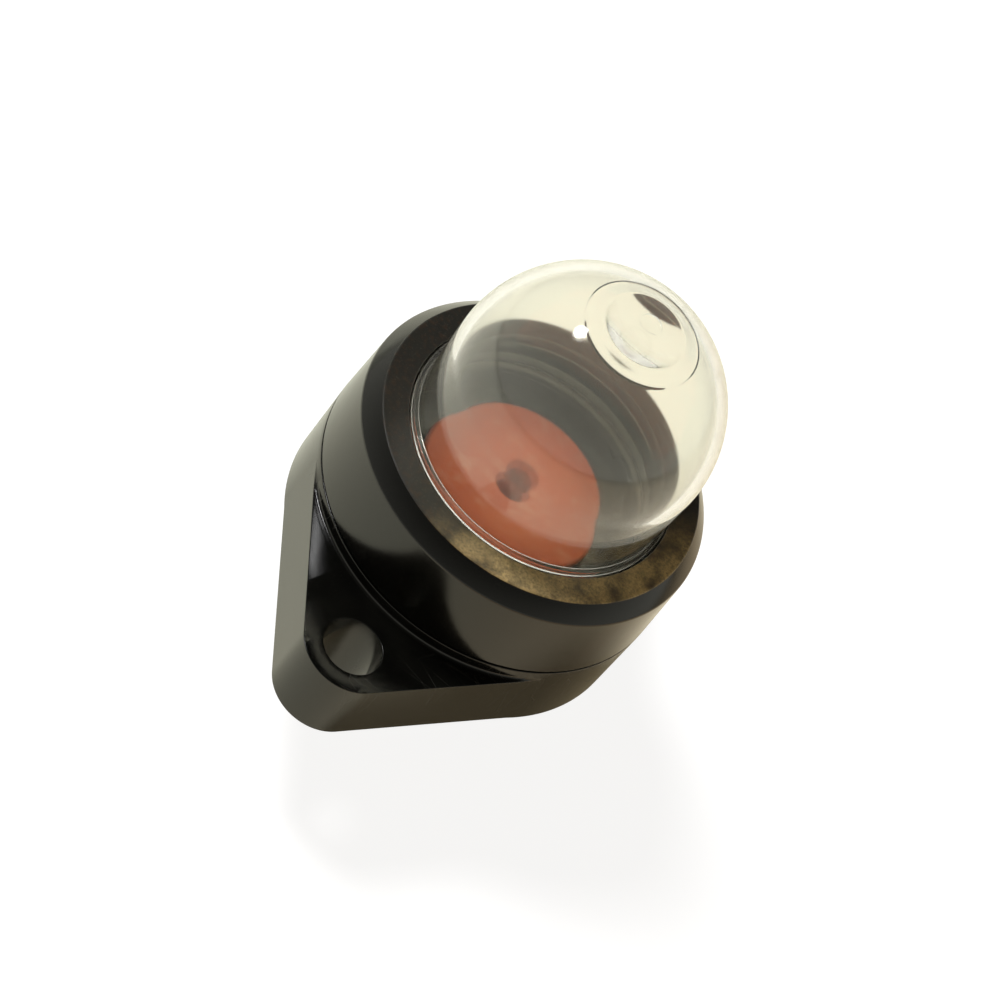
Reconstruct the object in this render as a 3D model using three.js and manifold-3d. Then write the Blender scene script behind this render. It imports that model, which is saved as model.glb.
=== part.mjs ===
// A primer bulb for a small engine, fixed by two screws and piped with two fuel lines.
// Millimetres, +Z along the dome's axis, origin in the middle of the flange's underside.
// The fuel comes in under the valve's umbrella and leaves through its duckbill.
import * as THREE from "three";
import { mergeVertices } from "three/addons/utils/BufferGeometryUtils.js";
import Module from "manifold-3d";

// Dome of the bulb
const domeRadius = 10.65;
const domeWall = 0.5;
const domeRise = 5.75; // dome's centre above the ridge of the foot
const gateRadius = 0.9; // mark of the moulding gate on the crown
const gateDepth = 0.1;
const crownPadRadius = 3.3; // round pad inside the crown
const crownPadBulge = 0.45;
const crownRingRadius = 4.2; // faint step round the pad
const crownRingStep = 0.1;

// Foot and flange of the bulb
const neckRise = 0.7; // where the dome meets the foot, above the ridge
const footStep = 0.1; // foot wider than the dome
const footWall = 0.65;
const footTaper = 1.2; // height over which the bore narrows into the neck
const ridgeInset = 0.3; // ridge's crest inside the foot's wall
const ridgeWidth = 0.2;
const ridgeHeight = 0.45; // above the groove round the neck
const ridgeProud = 0.3; // above the cap
const bulbFlangeWidth = 1.75;
const bulbFlangeThickness = 1.6;

// Cap that clamps the bulb
const capLip = 2.65; // thickness of the lip over the bulb's flange
const capFlatWidth = 2.15; // flat ring on the top
const capChamferWidth = 1.17;
const capChamferHeight = 1.33;
const capDraft = 0.29; // wall wider at its foot
const capMouthEdge = 0.12;
const capFootEdge = 0.15;
const beadDepth = 0.3; // snap bead inside the wall
const beadHeight = 0.9;
const beadRise = 1.2; // above the cap's foot

// Base
const flangeThickness = 5.85;
const flangeEdge = 0.15; // broken edges
const screwOffset = 4.45; // hole centre outside the round wall
const screwHoleRadius = 2.35;
const earWall = 1.55; // round the screw hole
const bodyRise = 1.0; // round part above the ears
const bodyFillet = 0.8;
const spigotHeight = 3.5; // up to the bulb's seat
const spigotEdge = 0.3;
const seatDepth = 1.05; // valve's seat below the bulb's seat
const grooveDepth = 1.2; // ring groove that feeds the umbrella
const wellWall = 1.2; // between the valve's well and the ring groove

// Valve
const discGap = 2.95; // round the umbrella
const sealLand = 1.15; // width on which the umbrella seals
const rimThickness = 1.0;
const crownRise = 0.6; // umbrella's middle above its rim
const barrelRadius = 2.45;
const barrelLength = 3.1;
const billLength = 3.0;
const billTip = 1.1; // thickness of the closed lips
const billWall = 0.75;
const slitWidth = 0.16;
const mouthRadius = 1.65; // funnel at the top
const boreRadius = 1.2;
const funnelDepth = 0.9;
const discEdge = 0.2;

// Hose nipples
const nippleRadius = 1.6;
const nippleBoreRadius = 0.85;
const nippleLength = 9.5;
const nippleRootFillet = 0.3;
const barbHeight = 0.28;
const barbLength = 1.7;
const barbCount = 2;
const tipLand = 0.5;
const outletShift = 0.25; // outlet's axis outside the wall of the well
const outletOverlap = 2.2; // height over which outlet and well run together

// Clearances
const seamGap = 0.15; // parting line between cap and base
const clampGap = 0.05; // at each face of the bulb's flange
const mouthGap = 0.25; // between the foot and the cap's mouth
const flangeGap = 0.25; // round the bulb's flange
const spigotGap = 0.1;
const wellGap = 0.15;
const seatGap = 0.05; // under the umbrella
const billRoom = 0.9; // under the duckbill

// Facets
const turns = 60; // sides of the big round pieces
const valveTurns = 48;
const nippleTurns = 24;
const earSteps = 14; // along the corner of an ear
const domeSteps = 12;
const filletSteps = 3;

// Radii that follow
const footRadius = domeRadius + footStep;
const capMouthRadius = footRadius + mouthGap;
const capFlatRadius = capMouthRadius + capFlatWidth;
const capShoulderRadius = capFlatRadius + capChamferWidth;
const bodyRadius = capShoulderRadius + capDraft;
const bulbFlangeRadius = footRadius + bulbFlangeWidth;
const capBoreRadius = bulbFlangeRadius + flangeGap;
const spigotRadius = capBoreRadius - spigotGap;
const chamberRadius = footRadius - footWall;
const discRadius = chamberRadius - discGap;
const wellRadius = barrelRadius + wellGap;
const grooveInner = wellRadius + wellWall;
const grooveOuter = discRadius - sealLand;
const earRadius = screwHoleRadius + earWall;
const earOffset = bodyRadius + screwOffset;
const sideAngle = Math.asin((bodyRadius - earRadius) / earOffset);

// Heights that follow
const bodyTop = flangeThickness + bodyRise;
const bulbSeat = bodyTop + spigotHeight;
const valveSeat = bulbSeat - seatDepth;
const capFoot = bodyTop + seamGap;
const bulbBottom = bulbSeat + clampGap;
const bulbFlangeTop = bulbBottom + bulbFlangeThickness;
const capLipBottom = bulbFlangeTop + clampGap;
const capTop = capLipBottom + capLip;
const ridgeTop = capTop + ridgeProud;
const domeCentre = ridgeTop + domeRise;
const wellBottom = valveSeat - barrelLength - billLength - billRoom;

const blackPlastic = new THREE.MeshStandardMaterial({
  color: 0x15150f,
  roughness: 0.32,
  metalness: 0,
});
const ringPlastic = new THREE.MeshStandardMaterial({
  color: 0x17150f,
  roughness: 0.42,
  metalness: 0,
});
const clearPlastic = new THREE.MeshStandardMaterial({
  color: 0xe6e2cc,
  roughness: 0.12,
  metalness: 0,
  transparent: true,
  opacity: 0.4,
});
const orangeRubber = new THREE.MeshStandardMaterial({
  color: 0xbf5220,
  roughness: 0.6,
  metalness: 0,
});

const wasm = await Module();
wasm.setup();

function solidOf(geometry) {
  const bare = geometry.clone();
  bare.deleteAttribute("normal");
  bare.deleteAttribute("uv");
  const merged = mergeVertices(bare, 1e-4);
  return new wasm.Manifold(
    new wasm.Mesh({
      numProp: 3,
      vertProperties: new Float32Array(merged.attributes.position.array),
      triVerts: new Uint32Array(merged.index.array),
    }),
  );
}

function geometryOf(solid) {
  const mesh = solid.getMesh();
  const geometry = new THREE.BufferGeometry();
  geometry.setAttribute("position", new THREE.BufferAttribute(mesh.vertProperties, 3));
  geometry.setIndex(new THREE.BufferAttribute(mesh.triVerts, 1));
  geometry.computeVertexNormals();
  return geometry;
}

function at(radius, height) {
  return new THREE.Vector2(radius, height);
}

// Points of a round stretch in a profile, from one angle in degrees to another.
function round(centreRadius, centreHeight, radius, from, to, steps) {
  const points = [];
  for (let i = 0; i <= steps; i++) {
    const angle = THREE.MathUtils.degToRad(from + ((to - from) * i) / steps);
    points.push(at(centreRadius + radius * Math.cos(angle), centreHeight + radius * Math.sin(angle)));
  }
  return points;
}

// A body turned about Z from a profile that runs from bottom to top on its outside.
function turned(profile, sides) {
  return new THREE.LatheGeometry(profile, sides).rotateX(Math.PI / 2);
}

function closed(profile) {
  return [...profile, profile[0].clone()];
}

// The flange's outline: two ear corners and two stretches of the round body, joined by tangents.
function flangeOutline() {
  const step = (2 * Math.PI) / turns;
  const points = [];
  const add = (centreY, radius, angle) =>
    points.push(at(radius * Math.cos(angle), centreY + radius * Math.sin(angle)));
  for (const half of [0, Math.PI]) {
    const whole = Math.floor(sideAngle / step - 1e-6);
    add(0, bodyRadius, half - sideAngle);
    for (let i = -whole; i <= whole; i++) add(0, bodyRadius, half + i * step);
    add(0, bodyRadius, half + sideAngle);
    const earCentre = half === 0 ? earOffset : -earOffset;
    for (let i = 0; i <= earSteps; i++) {
      const share = i / earSteps;
      add(earCentre, earRadius, half + sideAngle + share * (Math.PI - 2 * sideAngle));
    }
  }
  return points;
}

function flangePlate() {
  const shape = new THREE.Shape(flangeOutline());
  for (const side of [-1, 1]) {
    const hole = new THREE.Path();
    hole.absarc(0, side * earOffset, screwHoleRadius, 0, 2 * Math.PI, true);
    shape.holes.push(hole);
  }
  const plate = new THREE.ExtrudeGeometry(shape, {
    depth: flangeThickness - 2 * flangeEdge,
    bevelEnabled: true,
    bevelThickness: flangeEdge,
    bevelSize: flangeEdge,
    bevelOffset: -flangeEdge,
    bevelSegments: 2,
    curveSegments: nippleTurns / 2,
  });
  return solidOf(plate.translate(0, 0, flangeEdge));
}

// The round part with the spigot that the cap snaps on to.
function bodyCore() {
  const root = flangeThickness / 2;
  const beadMiddle = capFoot + beadRise + beadHeight / 2;
  const neck = spigotRadius - beadDepth;
  return solidOf(
    turned(
      [
        at(0, root),
        at(bodyRadius - earWall, root),
        at(bodyRadius, flangeThickness),
        at(bodyRadius, bodyTop - capFootEdge),
        at(bodyRadius - capFootEdge, bodyTop),
        at(spigotRadius, bodyTop),
        at(spigotRadius, beadMiddle - beadHeight / 2 - spigotGap),
        at(neck, beadMiddle - beadHeight / 4),
        at(neck, beadMiddle + beadHeight / 4),
        at(spigotRadius, beadMiddle + beadHeight / 2 + spigotGap),
        at(spigotRadius, bulbSeat - spigotEdge),
        at(spigotRadius - spigotEdge, bulbSeat),
        at(0, bulbSeat),
      ],
      turns,
    ),
  );
}

// Concave round between the ears' top faces and the round part, no wider than the flange.
function bodySkirt() {
  const buried = flangeThickness / 2;
  const inner = bodyRadius - earWall;
  const skirt = turned(
    closed([
      at(inner, buried),
      at(bodyRadius + bodyFillet, buried),
      ...round(
        bodyRadius + bodyFillet,
        flangeThickness + bodyFillet,
        bodyFillet,
        270,
        180,
        filletSteps,
      ),
      at(inner, flangeThickness + bodyFillet),
    ]),
    turns,
  );
  const limit = new THREE.ExtrudeGeometry(new THREE.Shape(flangeOutline()), {
    depth: bodyTop,
    bevelEnabled: false,
  });
  return solidOf(skirt).intersect(solidOf(limit));
}

// Bulb's chamber, ring groove and valve's well, cut from the top.
function baseHollow() {
  const above = bulbSeat + 1;
  return solidOf(
    turned(
      [
        at(0, wellBottom),
        at(wellRadius, wellBottom),
        at(wellRadius, valveSeat),
        at(grooveInner, valveSeat),
        at(grooveInner, valveSeat - grooveDepth),
        at(grooveOuter, valveSeat - grooveDepth),
        at(grooveOuter, valveSeat),
        at(chamberRadius, valveSeat),
        at(chamberRadius, above),
        at(0, above),
      ],
      turns,
    ),
  );
}

function nipple(x) {
  const profile = [at(0, -nippleLength), at(nippleRadius - tipLand / 2, -nippleLength)];
  for (let i = 0; i < barbCount; i++) {
    const tip = -nippleLength + i * barbLength;
    profile.push(at(nippleRadius, tip + tipLand / 2));
    profile.push(at(nippleRadius + barbHeight, tip + barbLength - tipLand / 2));
    profile.push(at(nippleRadius, tip + barbLength));
  }
  profile.push(
    ...round(nippleRadius + nippleRootFillet, -nippleRootFillet, nippleRootFillet, 180, 90, filletSteps),
  );
  profile.push(at(nippleRadius + nippleRootFillet, flangeEdge), at(0, flangeEdge));
  return solidOf(turned(profile, nippleTurns).translate(x, 0, 0));
}

function nippleBore(x, top) {
  const profile = [
    at(0, -nippleLength - 1),
    at(nippleBoreRadius, -nippleLength - 1),
    at(nippleBoreRadius, top),
    at(0, top),
  ];
  return solidOf(turned(profile, nippleTurns).translate(x, 0, 0));
}

function base() {
  const outletX = -(wellRadius + outletShift);
  const inletX = (grooveInner + grooveOuter) / 2;
  const solid = flangePlate()
    .add(bodyCore())
    .add(bodySkirt())
    .add(nipple(outletX))
    .add(nipple(inletX))
    .subtract(baseHollow())
    .subtract(nippleBore(outletX, wellBottom + outletOverlap))
    .subtract(nippleBore(inletX, valveSeat - grooveDepth / 2));
  return geometryOf(solid);
}

function cap() {
  const beadMiddle = capFoot + beadRise + beadHeight / 2;
  const bead = capBoreRadius - beadDepth;
  return turned(
    closed([
      at(capBoreRadius, capFoot),
      at(bodyRadius - capFootEdge, capFoot),
      at(bodyRadius, capFoot + capFootEdge),
      at(capShoulderRadius, capTop - capChamferHeight),
      at(capFlatRadius, capTop),
      at(capMouthRadius + capMouthEdge, capTop),
      at(capMouthRadius, capTop - capMouthEdge),
      at(capMouthRadius, capLipBottom),
      at(capBoreRadius, capLipBottom),
      at(capBoreRadius, beadMiddle + beadHeight / 2),
      at(bead, beadMiddle + beadHeight / 4),
      at(bead, beadMiddle - beadHeight / 4),
      at(capBoreRadius, beadMiddle - beadHeight / 2),
    ]),
    turns,
  );
}

function bulb() {
  const degrees = THREE.MathUtils.radToDeg;
  const innerRadius = domeRadius - domeWall;
  const neckHeight = ridgeTop + neckRise;
  const neckAngle = degrees(Math.asin((neckHeight - domeCentre) / domeRadius));
  const neckRadius = domeRadius * Math.cos(THREE.MathUtils.degToRad(neckAngle));
  const crest = footRadius - ridgeInset;
  const grooveBottom = ridgeTop - ridgeHeight;
  const gateAngle = degrees(Math.acos(gateRadius / domeRadius));
  const gateHeight = domeCentre + Math.sqrt(domeRadius ** 2 - gateRadius ** 2) - gateDepth;
  const outside = [
    at(chamberRadius, bulbBottom),
    at(bulbFlangeRadius, bulbBottom),
    at(bulbFlangeRadius, bulbFlangeTop),
    at(footRadius, bulbFlangeTop),
    at(footRadius, ridgeTop - ridgeHeight),
    at(crest + ridgeWidth / 2, ridgeTop),
    at(crest - ridgeWidth / 2, ridgeTop),
    at(crest - ridgeWidth, grooveBottom + ridgeHeight / 4),
    at((crest + neckRadius) / 2, grooveBottom),
    at(neckRadius, grooveBottom + ridgeHeight / 2),
    ...round(0, domeCentre, domeRadius, neckAngle, gateAngle, domeSteps),
    at(gateRadius, gateHeight),
    at(0, gateHeight),
  ];
  const ringAngle = degrees(Math.acos(crownRingRadius / innerRadius));
  const inAt = (radius) => domeCentre + Math.sqrt(innerRadius ** 2 - radius ** 2);
  const padEdge = inAt(crownPadRadius);
  const taperTop = grooveBottom + ridgeInset / 2;
  const inside = [
    at(0, padEdge - crownPadBulge),
    at(crownPadRadius / 2, padEdge - crownPadBulge * 0.75),
    at(crownPadRadius, padEdge),
    at(crownRingRadius, inAt(crownRingRadius) + crownRingStep),
    ...round(0, domeCentre, innerRadius, ringAngle, neckAngle, domeSteps),
    at(neckRadius - footWall / 3, taperTop),
    at(chamberRadius, taperTop - footTaper),
  ];
  return turned(closed([...outside, ...inside]), turns);
}

// A wedge between two slanted planes, closing downwards to the lips.
function billWedge(top, bottom, topHalf, tipHalf, halfLength) {
  const shape = new THREE.Shape([
    at(-tipHalf, bottom),
    at(tipHalf, bottom),
    at(topHalf, top),
    at(-topHalf, top),
  ]);
  const wedge = new THREE.ExtrudeGeometry(shape, { depth: 2 * halfLength, bevelEnabled: false });
  return solidOf(wedge.translate(0, 0, -halfLength).rotateX(Math.PI / 2));
}

function rod(radius, bottom, top) {
  const profile = [at(0, bottom), at(radius, bottom), at(radius, top), at(0, top)];
  return solidOf(turned(profile, valveTurns));
}

function valve() {
  const underside = valveSeat + seatGap;
  const rimTop = underside + rimThickness;
  const crown = rimTop + crownRise;
  const barrelBottom = underside - barrelLength;
  const tip = barrelBottom - billLength;
  const umbrella = solidOf(
    turned(
      [
        at(0, barrelBottom),
        at(barrelRadius, barrelBottom),
        at(barrelRadius, underside),
        at(discRadius - discEdge, underside),
        at(discRadius, underside + discEdge),
        at(discRadius, rimTop - discEdge),
        at(discRadius - discEdge, rimTop),
        at(discRadius * 0.7, rimTop + crownRise * 0.55),
        at(discRadius * 0.4, crown),
        at(mouthRadius, crown),
        at(boreRadius, crown - funnelDepth),
        at(0, crown - funnelDepth),
      ],
      valveTurns,
    ),
  );
  const bill = rod(barrelRadius, tip, barrelBottom + 1).intersect(
    billWedge(barrelBottom + 1, tip, barrelRadius + 0.5, billTip / 2, barrelRadius + 1),
  );
  const inner = rod(boreRadius, tip + billWall, crown).intersect(
    billWedge(crown, tip + billWall, boreRadius * 3, slitWidth / 2, barrelRadius + 1),
  );
  const slit = new THREE.BoxGeometry(slitWidth, 2 * boreRadius, 2 * billLength);
  const solid = umbrella
    .add(bill)
    .subtract(inner)
    .subtract(solidOf(slit.translate(0, 0, tip)));
  return geometryOf(solid);
}

function piece(name, geometry, material) {
  const mesh = new THREE.Mesh(geometry, material);
  mesh.name = name;
  return mesh;
}

const primerBulb = new THREE.Group();
primerBulb.add(
  piece("base", base(), blackPlastic),
  piece("cap", cap(), ringPlastic),
  piece("bulb", bulb(), clearPlastic),
  piece("valve", valve(), orangeRubber),
);

export default primerBulb;
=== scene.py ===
import math
from types import SimpleNamespace

import bmesh
import bpy
from bpy.props import FloatProperty, FloatVectorProperty, PointerProperty
from mathutils import Matrix, Vector


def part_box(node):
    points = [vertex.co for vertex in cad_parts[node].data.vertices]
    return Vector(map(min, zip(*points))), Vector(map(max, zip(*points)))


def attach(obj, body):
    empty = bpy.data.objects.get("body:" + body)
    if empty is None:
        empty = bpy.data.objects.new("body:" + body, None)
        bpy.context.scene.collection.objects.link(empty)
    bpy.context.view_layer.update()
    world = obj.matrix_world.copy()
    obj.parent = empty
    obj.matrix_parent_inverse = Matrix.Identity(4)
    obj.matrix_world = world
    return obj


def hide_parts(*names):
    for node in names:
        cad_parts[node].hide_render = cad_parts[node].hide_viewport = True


bl_info = {
    "name": "Primer bulb",
    "version": (1, 0, 0),
    "blender": (4, 5, 0),
    "location": "3D View > Sidebar > Primer bulb",
    "description": "Builds a primer bulb for a small engine from its base, cap, bulb and valve",
    "category": "Object",
}

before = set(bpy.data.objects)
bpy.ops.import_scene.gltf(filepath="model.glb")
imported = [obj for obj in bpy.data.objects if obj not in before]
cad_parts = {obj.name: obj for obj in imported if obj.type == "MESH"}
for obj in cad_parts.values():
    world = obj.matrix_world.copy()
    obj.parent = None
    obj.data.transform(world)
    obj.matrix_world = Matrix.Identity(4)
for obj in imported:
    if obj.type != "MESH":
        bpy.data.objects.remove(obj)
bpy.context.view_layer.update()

MM = 1000.0  # the meshes are shaped in millimetres and scaled to metres at the end
WELD = 0.0002  # mm, under which two vertices are one
FULL_TURN = 2 * math.pi
FLAG_WAY = (-0.047, 0.686, 0.726)  # the dark corner of the room
PAINTED_SHEEN_WAY = (0.8, -0.6, 0.0)  # side of the cap where a warm gold-brown sheen is painted on its flat top
LATHE_STEPS = 288  # steps round a turned piece
BASE_STEPS = 720  # steps round the base, whose flange is turned and then drawn in
SMALL_STEPS = 96  # steps round the nipples and the holes
DOME_STEPS = 72  # steps along each of the dome's two curves
PAD_STEPS = 16  # steps along the crown's pad
SMOOTH_ANGLE = math.radians(32)
CUT_PAST = 1.0  # mm by which a cutter stands out of what it cuts
RIM_FROM = 0.5  # mm outside the fillet, from where a vertex is on the flange's edge
FILLET_INSET = 0.12  # mm that the fillet's vertices stay inside the edge's round
KEY_PLACE = (-0.333, 0.025, 0.5)
WHITE = (1.0, 1.0, 1.0)


def length(name, description, millimetres):
    return FloatProperty(
        name=name,
        description=description,
        default=millimetres / MM,
        min=0.0,
        unit="LENGTH",
        precision=5,
    )


def colour(name, description, rgb):
    return FloatVectorProperty(
        name=name,
        description=description,
        default=rgb,
        min=0.0,
        max=1.0,
        size=3,
        subtype="COLOR",
    )


def factor(name, description, value):
    return FloatProperty(
        name=name, description=description, default=value, min=0.0, soft_max=1.0, subtype="FACTOR"
    )


def angle(name, description, degrees):
    return FloatProperty(
        name=name, description=description, default=math.radians(degrees), subtype="ANGLE"
    )


def reach(node, axis, side=1):
    """How far a CAD node reaches along an axis, in mm."""
    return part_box(node)[side][axis] * MM


class PRIMER_PG_base(bpy.types.PropertyGroup):
    """Sizes of the black base"""

    body: length("Body radius", "Radius of the round body", 14.61)
    ear: length("Ear radius", "Radius of an ear's corner", 3.9)
    screw_offset: length("Screw offset", "From the axis to a screw hole", 19.06)
    screw_hole: length("Screw hole", "Radius of a screw hole", 2.35)
    thickness: length("Flange", "Thickness of the flange", 5.85)
    top: length("Body top", "Height of the parting line", 6.85)
    fillet: length("Fillet", "Round between the ears and the body", 0.3)
    spigot: length("Spigot", "Radius of the spigot inside the cap", 12.65)
    seat: length("Bulb seat", "Height of the bulb's seat", 10.35)
    chamber: length("Chamber", "Radius of the chamber under the bulb", 10.1)
    valve_seat: length("Valve seat", "Height of the valve's seat", 9.3)
    groove_inner: length("Groove inside", "Inner radius of the ring groove", 3.8)
    groove_outer: length("Groove outside", "Outer radius of the ring groove", 6.0)
    groove_depth: length("Groove depth", "Depth of the ring groove", 1.2)
    well: length("Well", "Radius of the well for the duckbill", 2.6)
    well_bottom: length("Well bottom", "Height of the well's bottom", 2.3)
    edge: length("Edge", "Round of the outer edges", 0.08)


class PRIMER_PG_nipple(bpy.types.PropertyGroup):
    """Sizes of the hose nipples"""

    radius: length("Radius", "Outer radius of a nipple", 1.6)
    bore: length("Bore", "Radius of its bore", 0.85)
    length: length("Length", "Length below the flange", 9.5)
    barb: length("Barb", "Height of a barb", 0.28)
    barb_length: length("Barb length", "Length of a barb", 1.7)
    root: length("Root", "Round at the nipple's root", 0.3)
    outlet: length("Outlet", "Outlet's distance from the axis", 2.85)
    inlet: length("Inlet", "Inlet's distance from the axis", 4.9)


class PRIMER_PG_cap(bpy.types.PropertyGroup):
    """Sizes of the ring that clamps the bulb"""

    foot: length("Foot", "Height of the cap's foot", 7.0)
    top: length("Top", "Height of the flat top", 14.7)
    outer: length("Outer radius", "Radius at the foot", 14.61)
    shoulder: length("Shoulder", "Radius where the chamfer starts", 14.32)
    chamfer: length("Chamfer", "Height of the chamfer", 1.33)
    flat: length("Flat radius", "Outer radius of the flat top", 13.15)
    mouth: length("Mouth", "Radius of the mouth", 11.0)
    lip: length("Lip", "Height of the lip's underside", 12.05)
    bore: length("Bore", "Radius of the bore", 12.75)
    edge: length("Edge", "Round of the edges", 0.12)


class PRIMER_PG_bulb(bpy.types.PropertyGroup):
    """Sizes of the clear bulb"""

    radius: length("Dome radius", "Outer radius of the dome", 10.65)
    wall: length("Wall", "Thickness of the dome", 0.8)
    foot_wall: length("Lower wall", "Thickness of the wall at the shoulder", 0.5)
    plate: length("Plate", "Thickness of the shoulder", 0.8)
    centre: length("Centre", "Height of the dome's centre", 20.75)
    foot: length("Foot", "Outer radius of the foot", 10.85)
    draft: length("Draft", "How much narrower the wall is at its foot", 0.2)
    shoulder: length("Shoulder", "Height of the shoulder round the wall's foot", 15.0)
    bottom: length("Bottom", "Height of the flange's underside", 10.4)
    flange_top: length("Flange top", "Height of the flange's top", 12.0)
    flange: length("Flange", "Radius of the flange", 12.5)
    chamber: length("Bore", "Radius of the bore through the foot", 10.5)
    pad: length("Crown pad", "Radius of the round pad inside the crown", 3.15)
    bulge: length("Pad's bulge", "How far the pad stands in from its edge", 0.26)
    ring: length("Crown ring", "Radius of the step round the pad", 4.3)
    gate: length("Gate", "Radius of the mark on the crown", 0.9)


class PRIMER_PG_valve(bpy.types.PropertyGroup):
    """Sizes of the rubber valve"""

    radius: length("Radius", "Radius of the umbrella", 7.15)
    underside: length("Underside", "Height of the umbrella's underside", 9.35)
    rim: length("Rim", "Thickness of the rim", 1.0)
    crown: length("Crown", "Rise of the middle above the rim", 0.6)
    barrel: length("Barrel", "Radius of the barrel", 2.45)
    barrel_length: length("Barrel length", "Length of the barrel", 3.1)
    bill: length("Bill", "Length of the duckbill", 3.0)
    bill_tip: length("Lips", "Thickness of the closed lips", 1.1)
    mouth: length("Mouth", "Radius of the funnel", 1.4)
    bore: length("Bore", "Radius of the bore", 1.15)
    funnel: length("Funnel", "Depth of the funnel", 0.9)


class PRIMER_PG_finish(bpy.types.PropertyGroup):
    """Colours and gloss of the pieces"""

    black: colour("Black plastic", "Colour of the base and cap", (0.0013, 0.0013, 0.0011))
    grain: colour("Grain", "Colour of the flat top's fine grain", (0.016, 0.015, 0.012))
    clear: colour("Clear plastic", "Tint of the bulb", (0.975, 0.96, 0.84))
    rim: colour("Rim", "Tint of the bulb where it is seen edge on", (0.76, 0.73, 0.56))
    orange: colour("Rubber", "Colour of the valve", (0.6, 0.09, 0.019))
    dust: colour("Dust", "Colour of the dull spots", (0.75, 0.38, 0.24))
    gloss: factor("Roughness", "Roughness of the black wall", 0.16)
    matt: factor("Top roughness", "Roughness of the cap's flat top", 0.42)


class PRIMER_PG_stage(bpy.types.PropertyGroup):
    """Camera and light"""

    azimuth: angle("Azimuth", "Camera's angle round the object", 3.95)
    elevation: angle("Elevation", "Camera's angle above the horizon", 46.58)
    roll: angle("Roll", "Turn of the picture", 40.40)
    distance: length("Distance", "From the camera to the origin's plane", 267.56)
    aside: FloatProperty(
        name="Aside", description="Origin's place right of the middle", default=-0.00327
    )
    below: FloatProperty(
        name="Below", description="Origin's place below the middle", default=0.00397
    )
    lens: FloatProperty(name="Lens", description="Focal length in mm", default=124.6)
    surround: factor("Surroundings", "Brightness of the room overhead", 0.04)
    tint: colour("Tint", "Colour of the room's light", (1.0, 0.99, 0.86))
    floor: colour("Floor", "Colour of the floor", (0.74, 0.74, 0.61))
    # painted light: the floor turns warmer towards its right side, which stands in for warm light
    # falling there; only reflections see it
    warm: colour("Floor with painted warm light", "Floor colour on the right, with warm light painted in", (0.76, 0.62, 0.42))


def mm(group):
    """The lengths of a property group in millimetres."""
    names = [key for key in group.bl_rna.properties.keys() if key not in ("rna_type", "name")]
    return SimpleNamespace(**{name: getattr(group, name) * MM for name in names})


class Profile:
    """A line in the XZ plane, in mm, that is turned round Z."""

    def __init__(self, x, z):
        self.bm = bmesh.new()
        self.first = self.tip = self.bm.verts.new((x, 0, z))
        self.corners = []

    def line(self, x, z, corner=0.0, steps=4):
        """A straight stretch, whose end is rounded if a corner is given."""
        made = bmesh.ops.extrude_vert_indiv(self.bm, verts=[self.tip])
        self.tip = made["verts"][0]
        self.tip.co = (x, 0, z)
        if corner:
            self.corners.append((self.tip, corner, steps))
        return self

    def arc(self, x, z, degrees, steps):
        """A round stretch about a point, anticlockwise as seen from -Y."""
        made = bmesh.ops.spin(
            self.bm,
            geom=[self.tip],
            cent=(x, 0, z),
            axis=(0, -1, 0),
            angle=math.radians(degrees),
            steps=steps,
        )
        self.tip = next(v for v in made["geom_last"] if isinstance(v, bmesh.types.BMVert))
        return self

    def close(self):
        """Joins the line's end to its start."""
        self.bm.edges.new((self.tip, self.first))
        return self

    def rounded(self):
        """Rounds the corners that the stretches asked for."""
        for vertex, corner, steps in self.corners:
            bmesh.ops.bevel(
                self.bm,
                geom=[vertex],
                offset=corner,
                offset_type="OFFSET",
                segments=steps,
                profile=0.5,
                affect="VERTICES",
                material=-1,
            )

    def turned(self, steps=LATHE_STEPS):
        """The body that the line sweeps round Z."""
        self.rounded()
        bmesh.ops.spin(
            self.bm,
            geom=self.bm.verts[:] + self.bm.edges[:],
            cent=(0, 0, 0),
            axis=(0, 0, 1),
            angle=FULL_TURN,
            steps=steps,
            use_merge=True,
        )
        tidy(self.bm)
        return self.bm


def tidy(bm):
    """Welds what the spin doubled and turns the faces outwards."""
    bmesh.ops.remove_doubles(bm, verts=bm.verts[:], dist=WELD)
    bmesh.ops.dissolve_degenerate(bm, edges=bm.edges[:], dist=WELD)
    bmesh.ops.recalc_face_normals(bm, faces=bm.faces[:])


def mesh_object(name, bm):
    mesh = bpy.data.meshes.new(name)
    bm.to_mesh(mesh)
    bm.free()
    made = bpy.data.objects.new(name, mesh)
    bpy.context.collection.objects.link(made)
    return made


def combine(body, tool, operation):
    """The body after a boolean with a tool, both objects in mm. The tool goes."""
    step = body.modifiers.new(operation, "BOOLEAN")
    step.operation = operation
    step.solver = "EXACT"
    step.object = tool
    shaped = body.evaluated_get(bpy.context.evaluated_depsgraph_get())
    mesh = bpy.data.meshes.new_from_object(shaped)
    body.modifiers.clear()
    body.data = mesh
    bpy.data.objects.remove(tool)
    return body


def moved(bm, x=0.0, y=0.0, z=0.0):
    bmesh.ops.translate(bm, verts=bm.verts[:], vec=(x, y, z))
    return bm


def finish_piece(piece, node, material):
    """Brings a piece to metres, smooths it and puts it in the frame for its CAD node."""
    piece.data.transform(Matrix.Scale(1 / MM, 4))
    piece.data.shade_smooth()
    piece.data.set_sharp_from_angle(angle=SMOOTH_ANGLE)
    weighted = piece.modifiers.new("Weighted normals", "WEIGHTED_NORMAL")
    weighted.keep_sharp = True
    weighted.weight = 100
    piece.data.materials.clear()
    piece.data.materials.append(material)
    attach(piece, "root")
    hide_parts(node)
    return piece


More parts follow.
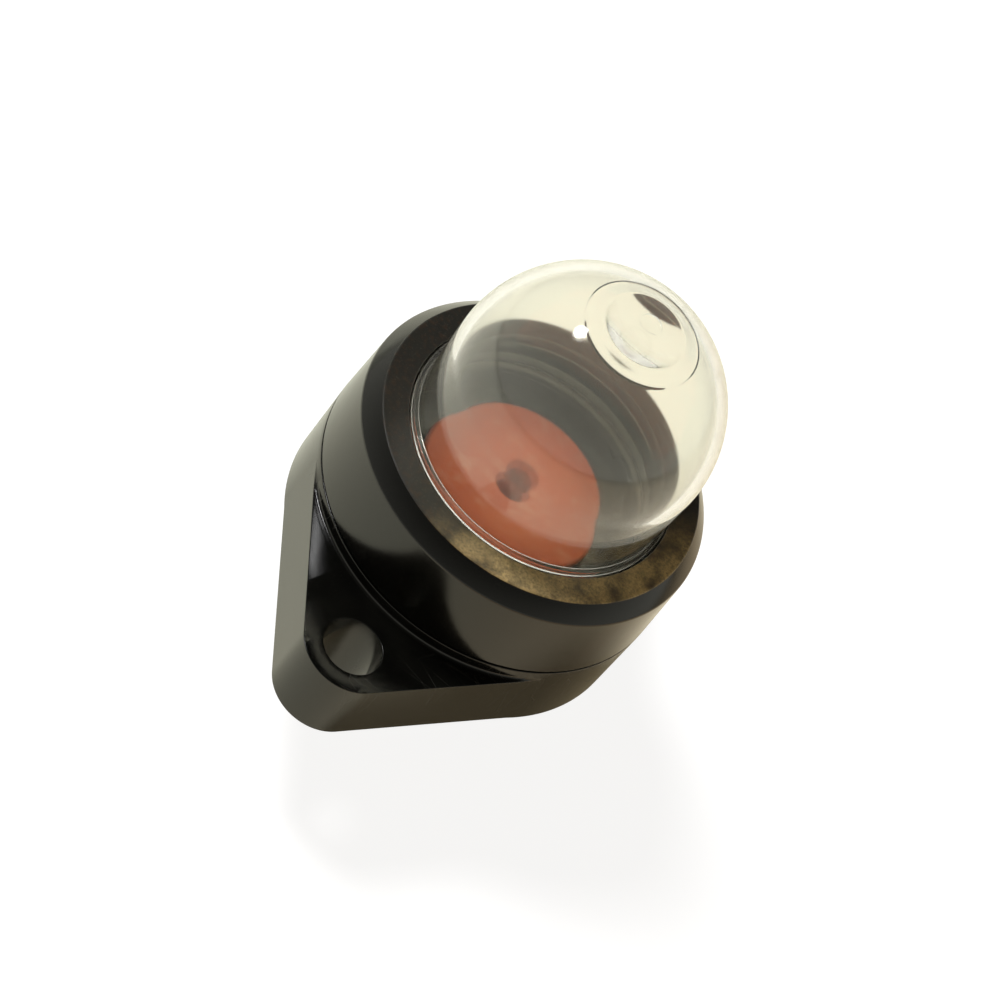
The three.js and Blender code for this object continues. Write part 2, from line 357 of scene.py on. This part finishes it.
class Wire:
    """A shader socket that can be used in sums."""

    def __init__(self, finish, socket):
        self.finish = finish
        self.socket = socket

    def math(self, operation, *values):
        return self.finish.node("ShaderNodeMath", {"operation": operation}, dict(enumerate(values)))

    def __add__(self, other):
        return self.math("ADD", self, other)

    def __sub__(self, other):
        return self.math("SUBTRACT", self, other)

    def __mul__(self, other):
        return self.math("MULTIPLY", self, other)

    def __radd__(self, other):
        return self.math("ADD", other, self)

    def __rsub__(self, other):
        return self.math("SUBTRACT", other, self)


class Finish:
    """A node material, or the world's nodes."""

    def __init__(self, name, tree=None):
        if tree is None:
            self.material = bpy.data.materials.new(name)
            self.material.use_nodes = True
            tree = self.material.node_tree
            self.shader = tree.nodes["Principled BSDF"]
        self.tree = tree

    def node(self, kind, settings, sockets, output=0):
        """A node of any kind, its settings set before its sockets."""
        made = self.tree.nodes.new(kind)
        for key, value in settings.items():
            setattr(made, key, value)
        for key, value in sockets.items():
            self.put(made.inputs[key], value)
        return Wire(self, made.outputs[output])

    def put(self, socket, value):
        """Sets a socket to a number or a colour, or links a wire to it."""
        if isinstance(value, Wire):
            self.tree.links.new(value.socket, socket)
        elif isinstance(value, (int, float)) or len(value) == len(socket.default_value):
            socket.default_value = value
        else:
            socket.default_value = (*value, 1.0)

    def surface(self, **values):
        """The material with these values on its shader's sockets."""
        for key, value in values.items():
            self.put(self.shader.inputs[key.replace("_", " ")], value)
        return self.material

    def place(self):
        return self.node("ShaderNodeTexCoord", {}, {}, "Object")

    def noise(self, scale, detail=3.0, roughness=0.5):
        return self.node(
            "ShaderNodeTexNoise",
            {},
            {
                "Vector": self.place(),
                "Scale": scale,
                "Detail": detail,
                "Roughness": roughness,
            },
        )

    def range(self, value, low, high, to_low=0.0, to_high=1.0):
        """A smooth step from one level to another, as the value goes from low to high."""
        return self.node(
            "ShaderNodeMapRange",
            {"interpolation_type": "SMOOTHSTEP"},
            {
                "Value": value,
                "From Min": low,
                "From Max": high,
                "To Min": to_low,
                "To Max": to_high,
            },
        )

    def mix(self, amount, first, second):
        return self.node(
            "ShaderNodeMix", {"data_type": "RGBA"}, {0: amount, 6: first, 7: second}, output=2
        )

    def bump(self, height, strength, distance):
        return self.node(
            "ShaderNodeBump",
            {},
            {"Height": height, "Strength": strength, "Distance": distance},
        )

    def part(self, vector, axis):
        return self.node("ShaderNodeSeparateXYZ", {}, {"Vector": vector}, axis)

    def dot(self, vector, way):
        return self.node(
            "ShaderNodeVectorMath", {"operation": "DOT_PRODUCT"}, {0: vector, 1: way}, "Value"
        )


def scratches(finish, scale, stretch, threshold, turn):
    """Thin hairlines that run one way, as a mask."""
    lines = finish.node(
        "ShaderNodeMapping",
        {},
        {"Vector": finish.place(), "Scale": stretch, "Rotation": turn},
    )
    web = finish.node(
        "ShaderNodeTexVoronoi",
        {"feature": "DISTANCE_TO_EDGE"},
        {"Vector": lines, "Scale": scale},
    )
    return finish.range(web, 0.0, threshold, 1.0, 0.0)


def black_plastic(colours):
    finish = Finish("Black plastic")
    cloud = finish.noise(240.0, 4.0)
    fine = finish.noise(3200.0, 2.0)
    peel = finish.noise(700.0, 2.0)
    hair = scratches(finish, 160.0, (1.0, 6.0, 1.0), 0.012, (0.4, 0.2, 0.9))
    wear_and_painted_sheen = hair * finish.range(finish.noise(120.0), 0.5, 0.62)
    tone = finish.mix(finish.range(cloud, 0.35, 0.7), tuple(colours.black), (0.0026, 0.0026, 0.0021))
    return finish.surface(
        Base_Color=finish.mix(wear_and_painted_sheen * 0.25, tone, (0.05, 0.05, 0.045)),
        Roughness=colours.gloss + cloud * 0.08 + fine * 0.05 + wear_and_painted_sheen * 0.15 - 0.05,
        Normal=finish.bump(peel + fine * 0.15, 0.02, 0.0002),
        IOR=1.5,
    )


def ring_plastic(colours, flat_height):
    finish = Finish("Ring plastic")
    height = finish.part(finish.place(), "Z")
    top = finish.range(height, flat_height - 0.0001, flat_height - 0.00002)
    cloud = finish.noise(420.0, 4.0)
    grain = finish.noise(5200.0, 2.0, 0.6)
    speckle = finish.range(finish.noise(7000.0, 1.0), 0.62, 0.74) * top
    # painted sheen: on one side of the flat top the colour is mixed towards gold-brown, a painted
    # warm sheen that is patchy with the cloud and the grain
    side = finish.range(finish.dot(finish.place(), PAINTED_SHEEN_WAY), 0.0045, 0.0115)
    wear_and_painted_sheen = side * top * finish.range(cloud, 0.25, 0.6)
    warm = finish.range(finish.noise(2600.0, 2.0), 0.5, 0.66) * top
    peel = finish.noise(700.0, 2.0)
    tone = finish.mix(top * 0.6, tuple(colours.black), tuple(colours.grain))
    tinted = finish.mix(warm * 0.5, tone, (0.03, 0.016, 0.009))
    with_painted_sheen = finish.mix(wear_and_painted_sheen * (grain * 1.5 - 0.1), tinted, (0.38, 0.275, 0.12))
    gloss = colours.gloss + cloud * 0.08 - 0.04
    matt = colours.matt + grain * 0.2 - 0.1
    relief = peel * (1.0 - top) * 0.3 + grain * top
    return finish.surface(
        Base_Color=finish.mix(speckle * 0.55, with_painted_sheen, (0.055, 0.05, 0.04)),
        Roughness=gloss * (1.0 - top) + matt * top,
        Normal=finish.bump(relief, 0.16, 0.0001),
        IOR=1.5,
    )


def clear_plastic(colours):
    finish = Finish("Clear plastic")
    cloud = finish.noise(160.0, 3.0)
    ripple = finish.noise(230.0, 2.0)
    hair = scratches(finish, 110.0, (1.0, 5.0, 1.5), 0.008, (0.5, 1.1, 0.3))
    wear_and_painted_sheen = hair * finish.range(finish.noise(90.0), 0.48, 0.6)
    facing = finish.node("ShaderNodeLayerWeight", {}, {"Blend": 0.5}, "Facing")
    rim = finish.range(facing, 0.55, 1.0)
    return finish.surface(
        Base_Color=finish.mix(rim, tuple(colours.clear), tuple(colours.rim)),
        Roughness=0.05 + finish.range(cloud, 0.4, 0.75) * 0.03 + wear_and_painted_sheen * 0.2,
        Normal=finish.bump(ripple + wear_and_painted_sheen * 0.8, 0.01, 0.0003),
        Transmission_Weight=0.97,
        IOR=1.5,
    )


def orange_rubber(colours):
    finish = Finish("Orange rubber")
    cloud = finish.noise(300.0, 4.0)
    fine = finish.noise(2600.0, 3.0)
    dusty = finish.range(finish.noise(520.0, 4.0, 0.6), 0.5, 0.72)
    return finish.surface(
        Base_Color=finish.mix(dusty * 0.25 + cloud * 0.1, tuple(colours.orange), tuple(colours.dust)),
        Roughness=0.42 + fine * 0.16,
        Normal=finish.bump(fine + cloud * 0.6, 0.16, 0.00012),
        IOR=1.45,
    )


def flange_reach(x, y, s):
    """Distance from the axis to the flange's edge, in the direction of a point."""
    across, along = abs(x), abs(y)
    far = math.hypot(across, along)
    across, along = across / far, along / far
    side = math.asin((s.body - s.ear) / s.screw_offset)
    direction = math.atan2(along, across)
    corner = math.atan2(s.screw_offset + s.ear * math.sin(side), s.ear * math.cos(side))
    if direction <= side:
        return s.body
    if direction < corner:
        return s.body / math.cos(direction - side)
    middle = along * s.screw_offset
    return middle + math.sqrt(middle**2 - s.screw_offset**2 + s.ear**2)


def fillet_height(x, s):
    """Height of the fillet between the ears and the body, at a distance from the axis."""
    inside = s.fillet**2 - (s.body + s.fillet - x) ** 2
    return s.thickness + s.fillet - math.sqrt(max(0.0, inside))


def shape_flange(bm, s):
    """Draws the turned flange in to its two ears and lifts its edge on to the fillet."""
    widest = s.screw_offset + s.ear
    for vertex in bm.verts:
        x, y, z = vertex.co
        radius = math.hypot(x, y)
        if radius <= s.body + WELD / 2:
            continue
        limit = flange_reach(x, y, s)
        rim = radius > s.body + s.fillet + RIM_FROM
        inset = widest - radius if rim else max(limit - radius, s.edge + FILLET_INSET)
        target = max(s.body, limit - inset)
        height = z
        if z > s.thickness / 2 and target < s.body + s.fillet:
            lifted = fillet_height(target, s)
            height = z + lifted - s.thickness if rim else lifted
        vertex.co = (x * target / radius, y * target / radius, height)


def nipple_body(n, x):
    """A nipple with two barbs, whose root stands a little way up into the flange."""
    land = 0.25
    tip_round = 0.15
    barb_round = 0.08
    neck_round = 0.06
    overlap = 0.5
    bottom = -n.length
    line = Profile(0, bottom).line(n.radius - land, bottom, tip_round, 3)
    for index in range(2):
        tip = bottom + index * n.barb_length
        line.line(n.radius, tip + 2 * land)
        line.line(n.radius + n.barb, tip + n.barb_length - 2 * land, barb_round, 3)
        line.line(n.radius + n.barb, tip + n.barb_length - land, barb_round, 3)
        line.line(n.radius, tip + n.barb_length, neck_round, 2)
    line.line(n.radius, -n.root).arc(n.radius + n.root, -n.root, -90, 6)
    line.line(n.radius + n.root, overlap).line(0, overlap)
    return mesh_object("nipple", moved(line.turned(SMALL_STEPS), x=x))


def nipple_bore(n, x, top):
    """A cutter for a nipple's bore with its widened mouth."""
    start = -n.length - CUT_PAST
    flare = 0.9
    mouth_depth = 0.15
    mouth_round = 0.2
    line = Profile(0, start).line(n.bore + flare, start)
    line.line(n.bore, -n.length + mouth_depth, mouth_round, 4).line(n.bore, top).line(0, top)
    return mesh_object("bore", moved(line.turned(SMALL_STEPS), x=x))


def screw_cutter(s, y):
    """A cutter for a screw hole, which leaves the edges of the hole rounded."""
    edge = s.edge
    mouth = s.screw_hole + edge
    wide = mouth + 0.4
    above = s.thickness + CUT_PAST
    line = Profile(0, -CUT_PAST).line(wide, -CUT_PAST).line(wide, 0).line(mouth, 0)
    line.arc(mouth, edge, -90, 5).line(s.screw_hole, s.thickness - edge)
    line.arc(mouth, s.thickness - edge, -90, 5).line(wide, s.thickness)
    line.line(wide, above).line(0, above)
    return mesh_object("screw hole", moved(line.turned(SMALL_STEPS), y=y))


class PRIMER_OT_base(bpy.types.Operator):
    """Builds the flange, the round body, its chamber and the hose nipples"""

    bl_idname = "primer.base"
    bl_label = "Base"

    def execute(self, context):
        s, n = mm(context.scene.primer_base), mm(context.scene.primer_nipple)
        widest = s.screw_offset + s.ear
        edge = s.edge
        top_round = 0.1
        spigot_round = 0.25
        chamber_round = 0.15
        seat_round = 0.1
        outlet_rise = 2.2  # how far the outlet's bore opens the well's wall
        groove_bottom = s.valve_seat - s.groove_depth
        line = Profile(0, 0)
        line.line(s.body / 2, 0).line(widest - edge, 0).arc(widest - edge, edge, 90, 4)
        line.line(widest, s.thickness - edge).arc(widest - edge, s.thickness - edge, 90, 4)
        line.line(s.body + s.fillet, s.thickness)
        line.arc(s.body + s.fillet, s.thickness + s.fillet, -90, 8)
        line.line(s.body, s.top - top_round).arc(s.body - top_round, s.top - top_round, 90, 4)
        line.line(s.spigot, s.top).line(s.spigot, s.seat, spigot_round, 3)
        line.line(s.chamber, s.seat, chamber_round, 3).line(s.chamber, s.valve_seat)
        line.line(s.groove_outer, s.valve_seat, seat_round, 2)
        line.line(s.groove_outer, groove_bottom).line(s.groove_inner, groove_bottom)
        line.line(s.groove_inner, s.valve_seat, seat_round, 2)
        line.line(s.well, s.valve_seat, seat_round, 2)
        line.line(s.well, s.well_bottom).line(0, s.well_bottom)
        turned = line.turned(BASE_STEPS)
        shape_flange(turned, s)
        tidy(turned)
        piece = mesh_object("Base", turned)
        for side in (-1, 1):
            combine(piece, screw_cutter(s, side * s.screw_offset), "DIFFERENCE")
        for x in (-n.outlet, n.inlet):
            combine(piece, nipple_body(n, x), "UNION")
        combine(piece, nipple_bore(n, -n.outlet, s.well_bottom + outlet_rise), "DIFFERENCE")
        combine(piece, nipple_bore(n, n.inlet, s.valve_seat - s.groove_depth / 2), "DIFFERENCE")
        finish_piece(piece, "base", black_plastic(context.scene.primer_finish))
        return {"FINISHED"}


class PRIMER_OT_cap(bpy.types.Operator):
    """Builds the black ring that clamps the bulb"""

    bl_idname = "primer.cap"
    bl_label = "Cap"

    def execute(self, context):
        s = mm(context.scene.primer_cap)
        shoulder_round = 0.12
        flat_round = 0.09
        mouth_round = 0.14
        bore_round = 0.1
        line = Profile((s.bore + s.outer) / 2, s.foot)
        line.line(s.outer, s.foot, s.edge, 4)
        line.line(s.shoulder, s.top - s.chamfer, shoulder_round, 5)
        line.line(s.flat, s.top, flat_round, 5)
        line.line(s.mouth, s.top, mouth_round, 5)
        line.line(s.mouth, s.lip).line(s.bore, s.lip)
        line.line(s.bore, s.foot, bore_round, 2).close()
        piece = mesh_object("Cap", line.turned())
        material = ring_plastic(context.scene.primer_finish, s.top / MM)
        finish_piece(piece, "cap", material)
        return {"FINISHED"}


def inner_height(s, radius):
    """Height of the dome's inner face at a distance from the axis."""
    return s.centre + math.sqrt((s.radius - s.wall) ** 2 - radius**2)


class PRIMER_OT_bulb(bpy.types.Operator):
    """Builds the clear dome with its foot and flange"""

    bl_idname = "primer.bulb"
    bl_label = "Bulb"

    def execute(self, context):
        s = mm(context.scene.primer_bulb)
        waist = s.radius - s.draft
        line = Profile((s.chamber + s.flange) / 2, s.bottom)
        self.outside(line, s, waist)
        top = math.acos(self.crown(line, s) / (s.radius - s.wall))
        line.arc(0, s.centre, -math.degrees(top), DOME_STEPS)
        step_round = 0.05
        underside = s.shoulder - s.plate
        line.line(waist - s.foot_wall, underside, step_round, 3)
        line.line(s.chamber, underside, step_round, 3)
        line.line(s.chamber, s.bottom, 0.15, 3).close()
        piece = mesh_object("Bulb", line.turned())
        finish_piece(piece, "bulb", clear_plastic(context.scene.primer_finish))
        return {"FINISHED"}

    def outside(self, line, s, waist):
        """The outer face, from the flange up to the mark on the crown."""
        gate = math.acos(s.gate / s.radius)
        mark_slope = 0.05
        mark_depth = 0.08
        mark_round = 0.04
        line.line(s.flange, s.bottom, 0.15, 3).line(s.flange, s.flange_top, 0.2, 3)
        line.line(s.foot, s.flange_top, 0.2, 3).line(s.foot, s.shoulder, 0.12, 4)
        line.line(waist, s.shoulder, 0.06, 4).line(s.radius, s.centre)
        line.arc(0, s.centre, math.degrees(gate), DOME_STEPS)
        line.line(s.gate - mark_slope, line.tip.co.z - mark_depth, mark_round, 3)
        line.line(0, line.tip.co.z)

    def crown(self, line, s):
        """The crown's inner face, with its pad and the ring's step. Gives its radius."""
        pad_edge = inner_height(s, s.pad)
        pad_radius = (s.pad**2 + s.bulge**2) / (2 * s.bulge)
        pad_turn = math.degrees(math.asin(s.pad / pad_radius))
        pad_blend = 0.3
        step_foot = 0.14
        step_height = 0.06
        step_top = 0.12
        line.line(0, pad_edge - s.bulge)
        line.arc(0, pad_edge - s.bulge + pad_radius, pad_turn, PAD_STEPS)
        for radius, rise, corner, steps in (
            (s.pad + pad_blend, 0.0, 0.25, 6),
            (s.ring - step_foot, 0.0, 0.05, 3),
            (s.ring, step_height, 0.05, 3),
            (s.ring + step_top, 0.0, 0.05, 3),
        ):
            line.line(radius, inner_height(s, radius) + rise, corner, steps)
        return radius


def wedge(s, top, bottom, top_half, tip_half):
    """A block whose two slanted faces close towards the lips."""
    bm = bmesh.new()
    bmesh.ops.create_cube(bm, size=1.0)
    for vertex in bm.verts:
        half = top_half if vertex.co.z > 0 else tip_half
        vertex.co = (
            math.copysign(half, vertex.co.x),
            math.copysign(s.barrel + CUT_PAST, vertex.co.y),
            top if vertex.co.z > 0 else bottom,
        )
    return mesh_object("wedge", bm)


class PRIMER_OT_valve(bpy.types.Operator):
    """Builds the orange umbrella with its duckbill"""

    bl_idname = "primer.valve"
    bl_label = "Valve"

    def execute(self, context):
        s = mm(context.scene.primer_valve)
        rim_top = s.underside + s.rim
        crown = rim_top + s.crown
        barrel_bottom = s.underside - s.barrel_length
        tip = barrel_bottom - s.bill
        start = s.underside - 0.5
        stem_top = s.underside - 0.2
        floor = tip + 0.75
        taper = 2.2
        half_slit = 0.08
        line = Profile(0, start).line(s.barrel, start).line(s.barrel, s.underside, 0.3, 3)
        line.line(s.radius, s.underside, 0.2, 4).line(s.radius, rim_top, 0.3, 5)
        line.line(s.radius - 0.9, rim_top + 0.02, 0.3, 4)
        line.line(s.radius * 0.68, rim_top + s.crown * 0.55, 0.8, 6)
        line.line(s.radius * 0.42, crown, 0.7, 6)
        line.line(s.mouth + 0.45, crown, 0.2, 5).line(s.mouth, crown - 0.12, 0.12, 4)
        line.line(s.bore, crown - s.funnel, 0.1, 3).line(0, crown - s.funnel)
        piece = mesh_object("Valve", line.turned())
        stem = Profile(0, tip).line(s.barrel, tip).line(s.barrel, stem_top).line(0, stem_top)
        bill = mesh_object("bill", stem.turned(SMALL_STEPS))
        combine(bill, wedge(s, s.underside, tip, s.barrel + taper, s.bill_tip / 2), "INTERSECT")
        combine(piece, bill, "UNION")
        bore = Profile(0, floor).line(s.bore, floor).line(s.bore, crown).line(0, crown)
        cavity = mesh_object("cavity", bore.turned(SMALL_STEPS))
        combine(cavity, wedge(s, crown + 0.1, floor, s.bore * 3, half_slit), "INTERSECT")
        combine(piece, cavity, "DIFFERENCE")
        finish_piece(piece, "valve", orange_rubber(context.scene.primer_finish))
        return {"FINISHED"}


def backdrop_ray(finish):
    """1 where the background is seen by the camera or through the clear bulb, else 0."""

    def ray(output):
        return finish.node("ShaderNodeLightPath", {}, {}, output)

    seen = ray("Is Camera Ray") + ray("Is Transmission Ray")
    return finish.node("ShaderNodeClamp", {}, {"Value": seen})


def soft_box(name, place, aim, size, power, tint, mirrored):
    """A round area lamp, which glossy and clear pieces show only if it is mirrored."""
    lamp = bpy.data.lights.new(name, "AREA")
    lamp.shape = "ELLIPSE"
    lamp.size, lamp.size_y = size
    lamp.energy = power
    lamp.color = tint
    made = bpy.data.objects.new(name, lamp)
    made.location = place
    made.rotation_mode = "QUATERNION"
    made.rotation_quaternion = (Vector(aim) - Vector(place)).to_track_quat("-Z", "Y")
    made.visible_glossy = mirrored
    made.visible_transmission = mirrored
    bpy.context.collection.objects.link(made)


class PRIMER_OT_stage(bpy.types.Operator):
    """Sets up the floor, the light and the camera"""

    bl_idname = "primer.stage"
    bl_label = "Stage"

    def execute(self, context):
        stage = context.scene.primer_stage
        self.floor(stage, reach("base", 2, 0) / MM)
        self.world(stage)
        self.lamps()
        self.camera(context.scene, stage)
        context.scene.view_settings.view_transform = "Standard"
        return {"FINISHED"}

    def floor(self, stage, height):
        bm = bmesh.new()
        bmesh.ops.create_grid(bm, x_segments=1, y_segments=1, size=2.0)
        floor = mesh_object("Floor", moved(bm, z=height - 0.0002))
        finish = Finish("Floor")
        seen = backdrop_ray(finish)
        # painted warm light: towards +X the floor's colour turns warm; the camera sees the floor
        # white
        side = finish.part(finish.place(), "X")
        shade = finish.mix(finish.range(side, -0.02, 0.06), tuple(stage.floor), tuple(stage.warm))
        finish.surface(
            Base_Color=finish.mix(seen, shade, (0.2, 0.2, 0.2)),
            Roughness=0.9,
            Emission_Color=WHITE,
            Emission_Strength=seen * 0.85,
            Specular_IOR_Level=0.0,
        )
        floor.data.materials.append(finish.material)

    def world(self, stage):
        world = bpy.data.worlds.new("Studio")
        bpy.context.scene.world = world
        world.use_nodes = True
        finish = Finish("Studio", world.node_tree)
        seen = backdrop_ray(finish)
        background = world.node_tree.nodes["Background"]
        way = finish.node("ShaderNodeTexCoord", {}, {}, "Generated")
        lit = 1.0 - finish.range(finish.dot(way, FLAG_WAY), 0.84, 0.97)
        horizon = 0.72
        room = finish.range(finish.part(way, "Z"), 0.0, 0.8, horizon, stage.surround) * lit
        finish.put(background.inputs["Color"], finish.mix(seen, tuple(stage.tint), WHITE))
        finish.put(background.inputs["Strength"], seen * (1.0 - room) + room)

    def lamps(self):
        middle = (0, 0, 0.02)
        soft_box("Glint", KEY_PLACE, middle, (0.12, 0.09), 0.8, WHITE, True)
        soft_box("Key", KEY_PLACE, middle, (0.2, 0.2), 4.2, WHITE, False)
        warm = (1.0, 0.82, 0.6)
        soft_box("Fill", (0.3, -0.3, 0.3), (0.05, -0.05, 0), (0.3, 0.3), 0.9, warm, False)

    def camera(self, scene, stage):
        azimuth, elevation, roll = stage.azimuth, stage.elevation, stage.roll
        back = Vector(
            (
                math.sin(azimuth) * math.cos(elevation),
                -math.cos(azimuth) * math.cos(elevation),
                math.sin(elevation),
            )
        )
        level = Vector((math.cos(azimuth), math.sin(azimuth), 0))
        rise = back.cross(level)
        right = level * math.cos(roll) + rise * math.sin(roll)
        up = rise * math.cos(roll) - level * math.sin(roll)
        lens = bpy.data.cameras.new("Camera")
        lens.lens = stage.lens
        lens.sensor_width = 36.0
        lens.clip_start = 0.01
        lens.clip_end = 10.0
        camera = bpy.data.objects.new("Camera", lens)
        turn = Matrix((right, up, back)).transposed()
        place = back * stage.distance - right * stage.aside + up * stage.below
        camera.matrix_world = Matrix.Translation(place) @ turn.to_4x4()
        bpy.context.collection.objects.link(camera)
        scene.camera = camera


OPERATORS = (
    PRIMER_OT_base,
    PRIMER_OT_cap,
    PRIMER_OT_bulb,
    PRIMER_OT_valve,
    PRIMER_OT_stage,
)

GROUPS = {
    "primer_base": PRIMER_PG_base,
    "primer_nipple": PRIMER_PG_nipple,
    "primer_cap": PRIMER_PG_cap,
    "primer_bulb": PRIMER_PG_bulb,
    "primer_valve": PRIMER_PG_valve,
    "primer_finish": PRIMER_PG_finish,
    "primer_stage": PRIMER_PG_stage,
}


class PRIMER_PT_panel(bpy.types.Panel):
    """Lists the pieces and their sizes"""

    bl_idname = "PRIMER_PT_panel"
    bl_label = "Primer bulb"
    bl_space_type = "VIEW_3D"
    bl_region_type = "UI"
    bl_category = "Primer bulb"

    def draw(self, context):
        for operator in OPERATORS:
            self.layout.operator(operator.bl_idname)
        for name, group in GROUPS.items():
            box = self.layout.box()
            box.label(text=group.__doc__)
            for entry in group.__annotations__:
                box.prop(getattr(context.scene, name), entry)


def register():
    for group in GROUPS.values():
        bpy.utils.register_class(group)
    for operator in OPERATORS:
        bpy.utils.register_class(operator)
    bpy.utils.register_class(PRIMER_PT_panel)
    for name, group in GROUPS.items():
        setattr(bpy.types.Scene, name, PointerProperty(type=group))


def unregister():
    for name in GROUPS:
        delattr(bpy.types.Scene, name)
    bpy.utils.unregister_class(PRIMER_PT_panel)
    for operator in reversed(OPERATORS):
        bpy.utils.unregister_class(operator)
    for group in reversed(GROUPS.values()):
        bpy.utils.unregister_class(group)


def main():
    register()
    bpy.ops.primer.base()
    bpy.ops.primer.cap()
    bpy.ops.primer.bulb()
    bpy.ops.primer.valve()
    bpy.ops.primer.stage()


if __name__ == "__main__":
    main()
